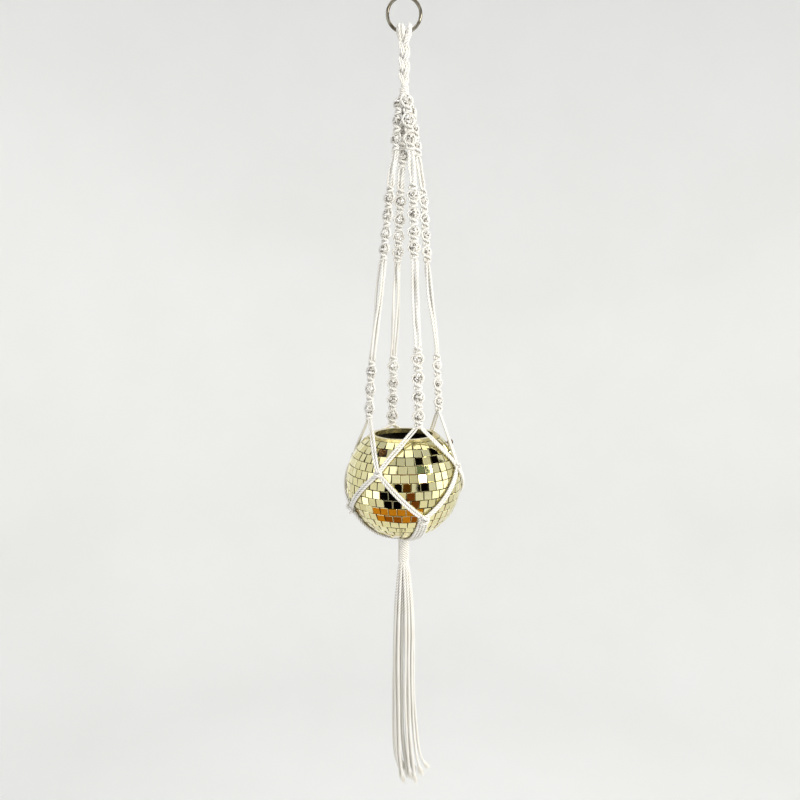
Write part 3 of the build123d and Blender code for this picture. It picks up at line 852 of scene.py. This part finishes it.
def ring_cord_route(x, reach, front_end, back_end):
    """Up one bundle, over the ring's wire and down another bundle."""
    wire_z = RING_CENTRE_Z - math.sqrt(RING_MAJOR**2 - x**2)
    front = bundle_cord(BUNDLE_TURNS[front_end[0]], *BUNDLE_PLACES[front_end[1]])
    back = bundle_cord(BUNDLE_TURNS[back_end[0]], *BUNDLE_PLACES[back_end[1]])
    over = [
        (x * 0.93, -reach * 0.93, wire_z - 3.4),
        (x, -reach, wire_z + 0.4),
        (x, -reach, wire_z + reach),
        (x, reach, wire_z + reach),
        (x, reach, wire_z + 0.4),
        (x * 0.93, reach * 0.93, wire_z - 3.4),
    ]
    return front[::-1] + [Vector(point) for point in over] + back


def head():
    for i, (x, reach, front_end, back_end) in enumerate(RING_CORDS):
        line = centreline(ring_cord_route(x, reach, front_end, back_end))
        cord = lay_cords(f"ring_cord_{i + 1}", [line], CORD_DIA, plaited)
        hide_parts("ring_loops", "braid_strand_a", "braid_strand_b", "braid_strand_c")
        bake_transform(cord)


head()


def coil_route(radius, top, bottom, pitch, tuck):
    """Turns of a wrap, with both ends tucked in under it."""
    per_turn = 14
    count = round(per_turn * (top - bottom) / pitch)
    route = [around(radius - tuck, -40, top)]
    for i in range(count + 1):
        azimuth = 360 * i / per_turn
        route.append(around(radius, azimuth, top + (bottom - top) * i / count))
    route.append(around(radius - tuck, 360 * count / per_turn + 40, bottom))
    return route


def wraps():
    top = coil_route(4.55, PLAIT_BOTTOM_Z - 2.0, TOP_WRAP_BOTTOM_Z + 1.6, 3.1, 1.8)
    bottom = coil_route(6.2, BOTTOM_WRAP_TOP_Z - 0.6, BOTTOM_WRAP_END_Z + 1.6, 3.15, 2.2)
    for name, route, node in (
        ("top_wrap_cord", top, ("top_wrap",)), ("bottom_wrap_cord", bottom, ("bottom_wrap",))
    ):
        cord = lay_cords(name, [centreline(route)], CORD_DIA)
        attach(cord, "basket")
        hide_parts(*node)


wraps()


# ---------------------------------------------------------------- the legs
# A working cord's path through one square knot: across, towards the front, and up.  The
# other working cord takes the same path mirrored, behind the two cords in the middle.
KNOT_PATH = (
    (3.5, 0.9, 4.7),
    (1.3, 3.0, 3.3),
    (-2.0, 3.2, 2.3),
    (-4.5, 0.3, 1.3),
    (-4.5, 0.3, -1.3),
    (-2.0, 3.2, -2.3),
    (1.3, 3.0, -3.3),
    (3.5, 0.9, -4.7),
)


def leg_place(leg, across, front, z):
    """A point beside a leg's axis: across it, and towards the way its knots face."""
    facing = LEG_FACING[leg]
    return leg_axis(leg, z) + sideways_at(facing) * across + outwards_at(facing) * front


def leg_knots_at(leg, level):
    """The heights of the middles of a bead group's square knots."""
    beads = BEAD_HEIGHTS[level][leg]
    reach = BEAD_DIA / 2 + KNOT_LENGTH / 2
    between = [(a + b) / 2 for a, b in zip(beads, beads[1:])]
    above = [] if level == "upper" else [beads[0] + reach]
    return above + between + [beads[-1] - reach]


def out_of_wrap(leg, turn, radius):
    """The start of a leg's cord, held inside the top wrap."""
    azimuth = LEG_AZIMUTHS[leg] + turn
    return [
        around(radius, azimuth, PLAIT_BOTTOM_Z - 4),
        around(radius + 0.3, azimuth, PLAIT_BOTTOM_Z - 9),
        around(radius + 1.4, azimuth, TOP_WRAP_BOTTOM_Z + 1.5),
    ]


def working_cord(leg, side):
    """Round the outside of each bead, and over or under in each square knot."""
    front = -side
    route = out_of_wrap(leg, side * 24, 2.7)
    for level, beads in BEAD_HEIGHTS.items():
        stops = [(z, "bead") for z in beads[leg]] + [(z, "knot") for z in leg_knots_at(leg, level)]
        for z, kind in sorted(stops, reverse=True):
            if kind == "bead":
                path = ((5.4, 0.3, 4.3), (7.6, 0.0, 0.0), (5.4, 0.3, -4.3))
            else:
                path = KNOT_PATH
            for across, out, up in path:
                route.append(leg_place(leg, side * across, front * out, z + up))
        if level != "lower":
            route += plain_run(leg, level, side * 3.2, 0.3 * front)
    return route


def filler_cord(leg, side):
    """Down the middle, through the beads and inside the knots."""
    route = out_of_wrap(leg, side * 12, 1.4)
    for level in BEAD_HEIGHTS:
        top, bottom = group_span(leg, level)
        for z in (top - 3, (top + bottom) / 2, bottom + 3):
            route.append(leg_place(leg, side * 1.0, 0, z))
        if level != "lower":
            route += plain_run(leg, level, side * 1.2, 1.7 * side)
    return route


def plain_run(leg, level, across, front):
    """A stretch without knots: the cords hang side by side, each a little its own way."""
    start = group_span(leg, level)[1] - 5
    stop = group_span(leg, "middle" if level == "upper" else "lower")[0] + 5
    shares = (0.0, 0.5, 1.0) if level == "upper" else (0.0, 0.33, 0.67, 1.0)
    bow = 1.4 if level == "upper" else 2.5
    return [
        leg_place(
            leg, across + dice.uniform(-bow, bow), front + dice.uniform(-bow, bow),
            start + (stop - start) * share,
        )
        for share in shares
    ]


def down_to_knot(leg, side, shift):
    """From a leg's end straight to the ball, and along it to the knot with the next leg."""
    azimuth = LEG_AZIMUTHS[leg]
    split = leg_axis(leg, group_span(leg, "lower")[1] + 0.01)
    start = split + sideways_at(azimuth) * side * 3.4 - BALL_CENTRE
    end = from_ball(azimuth + 45 * side, UPPER_KNOT_LATITUDE, NET_RADIUS) - BALL_CENTRE
    first = start.normalized()
    normal = start.cross(end).normalized()
    second = normal.cross(first)
    touch = math.acos(NET_RADIUS / start.length)
    stop = start.angle(end)
    offset = normal * shift

    def at(angle):
        return BALL_CENTRE + (first * math.cos(angle) + second * math.sin(angle)) * NET_RADIUS

    arc = [at(touch + (stop - touch) * k / 3) + offset * (1 - 0.35 * k / 3) for k in range(4)]
    begin = BALL_CENTRE + start + offset
    return [begin, begin.lerp(arc[0], 0.35), begin.lerp(arc[0], 0.75)] + arc


def pulled_tight(point):
    """Cords are thinner where knots grip them, between a leg's first bead and its last."""
    z = point.z / MM
    in_runs = -221 < z < -184 or -419 < z < -313 or z < -522
    return 1.0 if in_runs else 0.95


def threaded(point):
    """The two cords inside the beads are drawn much thinner there."""
    z = point.z / MM
    in_runs = -219 < z < -190 or -416 < z < -315 or z < -536
    return 1.0 if in_runs else 0.7


def legs():
    for leg in LEG_AZIMUTHS:
        working = []
        fillers = []
        for side in (-1, 1):
            working.append(working_cord(leg, side) + down_to_knot(leg, side, side * PAIR_HALF))
            fillers.append(filler_cord(leg, side) + down_to_knot(leg, side, -side * PAIR_HALF))
        for name, routes, squeeze, node in (
            (f"leg_{leg}_working_cords", working, pulled_tight, f"leg_knots_{leg}"),
            (f"leg_{leg}_filler_cords", fillers, threaded, f"leg_cords_{leg}"),
        ):
            cords = lay_cords(name, [centreline(route) for route in routes], CORD_DIA, squeeze)
            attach(cords, "basket")
            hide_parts(node, "net_upper_cords")


legs()


# ---------------------------------------------------------------- the net round the ball
def knot_on_ball(azimuth, latitude, size):
    """The two working cords of a square knot that lies on the ball."""
    stand = on_ball(azimuth, latitude, NET_RADIUS + 0.8)
    routes = []
    for side in (-1, 1):
        front = -side
        routes.append([
            stand @ Vector((side * across * size, up * size, max(front * out, -0.5) * size * 0.9))
            for across, out, up in KNOT_PATH
        ])
    return routes


def along_ball(start, end, shift, ease):
    """Points of a cord that follows the ball between two points; ease draws in its ends."""
    first = (start - BALL_CENTRE).normalized()
    normal = (start - BALL_CENTRE).cross(end - BALL_CENTRE).normalized()
    second = normal.cross(first)
    span = (start - BALL_CENTRE).angle(end - BALL_CENTRE)
    steps = max(4, round(math.degrees(span) / 8))
    route = []
    for k in range(steps + 1):
        t = k / steps
        angle = span * t
        draw = 1 - ease * abs(2 * t - 1) ** 3
        direction = first * math.cos(angle) + second * math.sin(angle)
        route.append(BALL_CENTRE + direction * NET_RADIUS + normal * shift * draw)
    return route


def bottom_route(azimuth, i):
    """One of the four cords from a lower knot to the gather under the ball and into it."""
    place = i - 1.5
    start_latitude = LOWER_KNOT_LATITUDE - 2
    fan = math.degrees(place * (CORD_DIA + 0.1) / NET_RADIUS) / math.cos(math.radians(start_latitude))
    gather_latitude = -math.degrees(math.acos(10.0 / NET_RADIUS))
    route = along_ball(
        from_ball(azimuth + fan, start_latitude, NET_RADIUS),
        from_ball(azimuth + place * 22.5, gather_latitude, NET_RADIUS), 0, 0,
    )
    gathered = azimuth + place * 22.5
    return route + [
        around(7.4, gathered + 6, BOTTOM_WRAP_TOP_Z + 0.6),
        around(4.4, gathered + 14, BOTTOM_WRAP_TOP_Z - 3.5),
        around(4.0, gathered + 20, BOTTOM_WRAP_TOP_Z - 12),
    ]


def net():
    upper_knots, middle, lower_knots, bottom = [], [], [], []
    for azimuth in LEG_AZIMUTHS.values():
        upper_knots += knot_on_ball(azimuth + 45, UPPER_KNOT_LATITUDE, 1.0)
        lower_knots += knot_on_ball(azimuth, LOWER_KNOT_LATITUDE, 1.3)
        low = from_ball(azimuth, LOWER_KNOT_LATITUDE, NET_RADIUS)
        for side in (-1, 1):
            high = from_ball(azimuth + 45 * side, UPPER_KNOT_LATITUDE, NET_RADIUS)
            for shift in (-PAIR_HALF, PAIR_HALF):
                middle.append(along_ball(high, low, shift, 0.3))
        bottom += [bottom_route(azimuth, i) for i in range(4)]
    for name, routes, nodes in (
        ("net_knot_cords_upper", upper_knots, ("net_upper_knots",)),
        ("net_pairs_middle", middle, ("net_middle_cords",)),
        ("net_knot_cords_lower", lower_knots, ("net_lower_knots",)),
        ("net_cords_bottom", bottom, ("net_bottom_cords", "bottom_gather")),
    ):
        cords = lay_cords(name, [centreline(route) for route in routes], CORD_DIA + 0.1)
        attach(cords, "basket")
        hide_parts(*nodes)


net()


# ---------------------------------------------------------------- the beads
def crystal():
    """One round-cut stone: eight crown facets round a flat table."""
    bm = bmesh.new()
    bmesh.ops.create_cone(
        bm, cap_ends=True, segments=8, radius1=1.15, radius2=0.62, depth=0.62,
    )
    return bm


def paved_bead():
    """The stones of one bead, in rows round its hole, as a mesh about the origin."""
    stone = crystal()
    rows = ((-60, 6), (-36, 10), (-12, 13), (12, 13), (36, 10), (60, 6))
    bm = bmesh.new()
    single = bpy.data.meshes.new("stone")
    for latitude, count in rows:
        for i in range(count):
            turn = Matrix.Rotation(math.radians(360 * (i + latitude / 48) / count), 4, "Z")
            tilt = Matrix.Rotation(math.radians(90 - latitude), 4, "Y")
            out = Matrix.Translation((0, 0, BEAD_DIA / 2 + 0.08))
            spin = Matrix.Rotation(dice.uniform(0, 0.8), 4, "Z")
            lean = Matrix.Rotation(math.radians(dice.uniform(-7, 7)), 4, "X")
            copy = stone.copy()
            bmesh.ops.transform(copy, matrix=turn @ tilt @ out @ lean @ spin, verts=copy.verts)
            copy.to_mesh(single)
            copy.free()
            bm.from_mesh(single)
    bpy.data.meshes.remove(single)
    stone.free()
    mesh = bpy.data.meshes.new("paved_bead")
    bm.to_mesh(mesh)
    bm.free()
    return mesh


def beads():
    paved = paved_bead()
    for level, heights in BEAD_HEIGHTS.items():
        for leg, beads_z in heights.items():
            bm = bmesh.new()
            top, bottom = group_span(leg, level)
            along = (leg_point(leg, top) - leg_point(leg, bottom)).normalized()
            stand = along.to_track_quat("Z", "X").to_matrix().to_4x4()
            for z in beads_z:
                placed = paved.copy()
                turn = Matrix.Rotation(dice.uniform(0, 6.28), 4, "Z")
                place = Matrix.Translation(leg_axis(leg, z)) @ stand @ turn
                placed.transform(Matrix.Scale(MM, 4) @ place)
                bm.from_mesh(placed)
                bpy.data.meshes.remove(placed)
            mesh = bpy.data.meshes.new("crystals")
            bm.to_mesh(mesh)
            bm.free()
            stones = piece(f"crystals_{level}_{leg}", mesh, CRYSTAL)
            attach(stones, "basket")
    bpy.data.meshes.remove(paved)


beads()


# ---------------------------------------------------------------- the mirror tiles
def row_latitude(row):
    if row == TILE_ROWS - 1:
        return LAST_ROW_LATITUDE
    return FIRST_ROW_LATITUDE - ROW_PITCH_DEG * row


def tiles_in_row(row):
    lat = math.radians(abs(row_latitude(row)))
    radius = BALL_RADIUS * math.cos(lat)
    narrow_radius = radius - TILE_SIDE / 2 * math.sin(lat)
    by_length = 2 * math.pi * radius / TILE_PITCH
    by_corners = math.pi / math.atan((TILE_SIDE / 2 + 0.12) / narrow_radius)
    count = int(min(by_length, by_corners))
    if row == EYE_ROW:
        count -= count % len(EYE_AZIMUTHS)
    return count


def blank_tile():
    """A square of mirror with its arrises ground off; its face is the first material."""
    bm = bmesh.new()
    size = (TILE_SIDE, TILE_SIDE, TILE_THICKNESS)
    bmesh.ops.create_cube(bm, size=1, matrix=Matrix.Diagonal((*size, 1)))
    bmesh.ops.bevel(
        bm, geom=bm.edges[:], affect="EDGES", offset=0.28, segments=1, profile=0.5, material=-1,
    )
    bmesh.ops.translate(bm, vec=(0, 0, -TILE_THICKNESS / 2), verts=bm.verts)
    for face in bm.faces:
        face.material_index = 0 if face.normal.z > 0.99 else 1
    return bm


def tile_row(row, blank):
    """One row of tiles, each set a little askew, as by hand."""
    count = tiles_in_row(row)
    pitch = 360 / count
    start = EYE_AZIMUTHS[0] + pitch * ROW_SHIFT * (row - EYE_ROW)
    single = bpy.data.meshes.new("tile")
    bm = bmesh.new()
    batches = []
    for i in range(count):
        if row == EYE_ROW and i % (count // len(EYE_AZIMUTHS)) == 0:
            continue
        lean_x = Matrix.Rotation(math.radians(dice.gauss(0, 2.0)), 4, "X")
        lean_y = Matrix.Rotation(math.radians(dice.gauss(0, 2.0)), 4, "Y")
        askew = Matrix.Rotation(math.radians(dice.uniform(-0.9, 0.9)), 4, "Z")
        stand = on_ball(start + pitch * i, row_latitude(row), BALL_RADIUS - dice.uniform(0, 0.12))
        copy = blank.copy()
        bmesh.ops.transform(copy, matrix=stand @ lean_x @ lean_y @ askew, verts=copy.verts)
        bmesh.ops.transform(copy, matrix=Matrix.Scale(MM, 4), verts=copy.verts)
        copy.to_mesh(single)
        batches += [dice.random()] * len(copy.verts)
        copy.free()
        bm.from_mesh(single)
    mesh = bpy.data.meshes.new("tiles")
    bm.to_mesh(mesh)
    bm.free()
    bpy.data.meshes.remove(single)
    mesh.attributes.new("tile_batch", "FLOAT", "POINT").data.foreach_set("value", batches)
    tiles = piece(f"mirror_tiles_{row + 1:02d}", mesh, MIRROR, MIRROR_EDGE)
    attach(tiles, "ball")
    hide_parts(f"tile_row_{row + 1:02d}")


def tile_rows():
    blank = blank_tile()
    for row in range(TILE_ROWS):
        tile_row(row, blank)
    blank.free()


tile_rows()


# ---------------------------------------------------------------- finishes of the CAD nodes
def paint(node, material):
    """Give a CAD node its finish."""
    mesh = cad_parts[node].data
    if not mesh.materials:
        mesh.materials.append(material)
    for i in range(len(mesh.materials)):
        mesh.materials[i] = material


for node, finish in (
    ("hanging_ring", STEEL),
    ("upper_shell", SHELL),
    ("lower_shell", SHELL),
    ("rim_trim", TRIM),
    ("chain_eyes", BRONZE),
    ("chain_eye_nuts", ZINC),
    ("drain_plug", RUBBER),
):
    paint(node, finish)
for level in BEAD_HEIGHTS:
    for leg in LEG_AZIMUTHS:
        paint(f"beads_{level}_{leg}", CLAY)


# ---------------------------------------------------------------- the studio
CARD_DISTANCE = 1300.0


def studio_material(name, hex_code, roughness):
    """Plain painted board, very slightly uneven."""
    material, tree, shader = new_material(name, roughness=roughness, specular_ior_level=0.2)
    here = add(tree, "TexCoord").outputs["Object"]
    uneven = add(
        tree, "TexNoise",
        {"Vector": here, "Scale": per_mm(400.0), "Detail": 2.0, "Roughness": 0.55},
    )
    worn = add(
        tree, "MapRange",
        {"Value": uneven.outputs["Fac"], "From Min": 0.3, "From Max": 0.7, "To Max": 0.06},
    )
    base = add(
        tree, "Mix", {SHARE: worn.outputs["Result"], FIRST: hex_code, SECOND: "#C9C7C1"},
        data_type="RGBA",
    )
    tree.links.new(base.outputs[MIXED], shader.inputs["Base Color"])
    return material


def stage_piece(name, bm, material):
    mesh = bpy.data.meshes.new(name)
    bm.to_mesh(mesh)
    bm.free()
    made = piece(name, mesh, material)
    return made


def studio_sweep():
    """A pale floor that curves up into a round wall, open to the sky light above."""
    floor_z, radius, cove, height = -2.1, 2.6, 0.7, 3.9
    bm = bmesh.new()
    profile = [(0.0, floor_z), (radius - cove, floor_z)]
    for k in range(1, 9):
        a = math.pi / 2 * k / 8
        profile.append((
            radius - cove + cove * math.sin(a), floor_z + cove - cove * math.cos(a)
        ))
    profile.append((radius, floor_z + height))
    verts = [bm.verts.new((x, 0, z)) for x, z in profile]
    edges = [bm.edges.new(pair) for pair in zip(verts, verts[1:])]
    bmesh.ops.spin(
        bm, geom=verts + edges, cent=(0, 0, 0), axis=(0, 0, 1), angle=2 * math.pi, steps=64,
        use_merge=True,
    )
    bmesh.ops.remove_doubles(bm, verts=bm.verts, dist=0.001)
    for face in bm.faces:
        face.smooth = True
    stage_piece("studio_sweep", bm, studio_material("painted board, pale", "#F3F3F2", 0.8))


def reflector_card(name, hex_code, azimuths, heights, glow=0.0):
    """A coloured card that only mirrors see: part of a globe round the ball, in degrees."""
    shine = {"emission_color": "#FFFFFF", "emission_strength": glow} if glow else {}
    material, _, _ = new_material(
        name, roughness=1.0, specular_ior_level=0.0, base_color=hex_code, **shine
    )
    bm = bmesh.new()
    bmesh.ops.create_grid(bm, x_segments=8, y_segments=8, size=1)
    for vert in bm.verts:
        azimuth = azimuths[0] + (azimuths[1] - azimuths[0]) * (vert.co.x + 1) / 2
        height = heights[0] + (heights[1] - heights[0]) * (vert.co.y + 1) / 2
        vert.co = from_ball(azimuth, height, CARD_DISTANCE) * MM
    card = stage_piece(name, bm, material)
    card.visible_camera = False
    card.visible_shadow = False
    card.visible_diffuse = False


def lamp(name, centre, size, power, tint):
    data = bpy.data.lights.new(name, "AREA")
    data.shape = "SQUARE"
    data.size = size
    data.energy = power
    data.color = colour(tint)[:3]
    made = bpy.data.objects.new(name, data)
    bpy.context.collection.objects.link(made)
    made.location = centre
    aim = Vector((0, 0, -0.5)) - Vector(centre)
    made.rotation_euler = aim.to_track_quat("-Z", "Y").to_euler()


def studio():
    studio_sweep()
    cards = (
        ("card_floor_near", "#8C4D12", (-70, 46), (-78, -62)),
        ("card_floor", "#C07D22", (-80, 52), (-62, -41)),
        ("card_black_low", "#060507", (-46, -4), (-37, 0)),
        ("card_black_side", "#0A080A", (28, 46), (-8, 6)),
        ("card_black_high", "#080609", (26, 46), (38, 56)),
        ("card_black_far", "#0A0709", (84, 104), (20, 58)),
        ("card_brown", "#5F3A12", (-14, 12), (-12, 18)),
        ("card_olive", "#55541E", (-34, -14), (22, 38)),
        ("card_green", "#3C5A36", (30, 56), (22, 34)),
        ("card_rust", "#7A4520", (12, 34), (-34, -14)),
    )
    for name, hex_code, azimuths, heights in cards:
        reflector_card(name, hex_code, azimuths, heights)
    reflector_card("card_bright", "#FFFFFF", (58, 96), (-36, 18), glow=0.9)
    reflector_card("card_bright_left", "#FFFFFF", (-86, -64), (-30, -12), glow=0.9)
    reflector_card("card_above", "#FFFFFF", (-180, 180), (60, 88), glow=0.72)
    lamp("key", (1.5, -1.35, 0.35), 0.9, 41, "#FFFDF8")
    lamp("fill", (-1.5, -0.9, 0.2), 1.6, 6, "#F4F6FF")
    lamp("back", (0.4, 1.5, 0.9), 1.2, 9, "#FFFFFF")
    world = bpy.data.worlds.new("sky")
    world.use_nodes = True
    sky = world.node_tree.nodes["Background"]
    sky.inputs["Color"].default_value = colour("#F3F5F7")
    sky.inputs["Strength"].default_value = 0.68
    bpy.context.scene.world = world
    bpy.context.scene.view_settings.view_transform = "Standard"


studio()
bpy.data.objects.remove(SECTION)
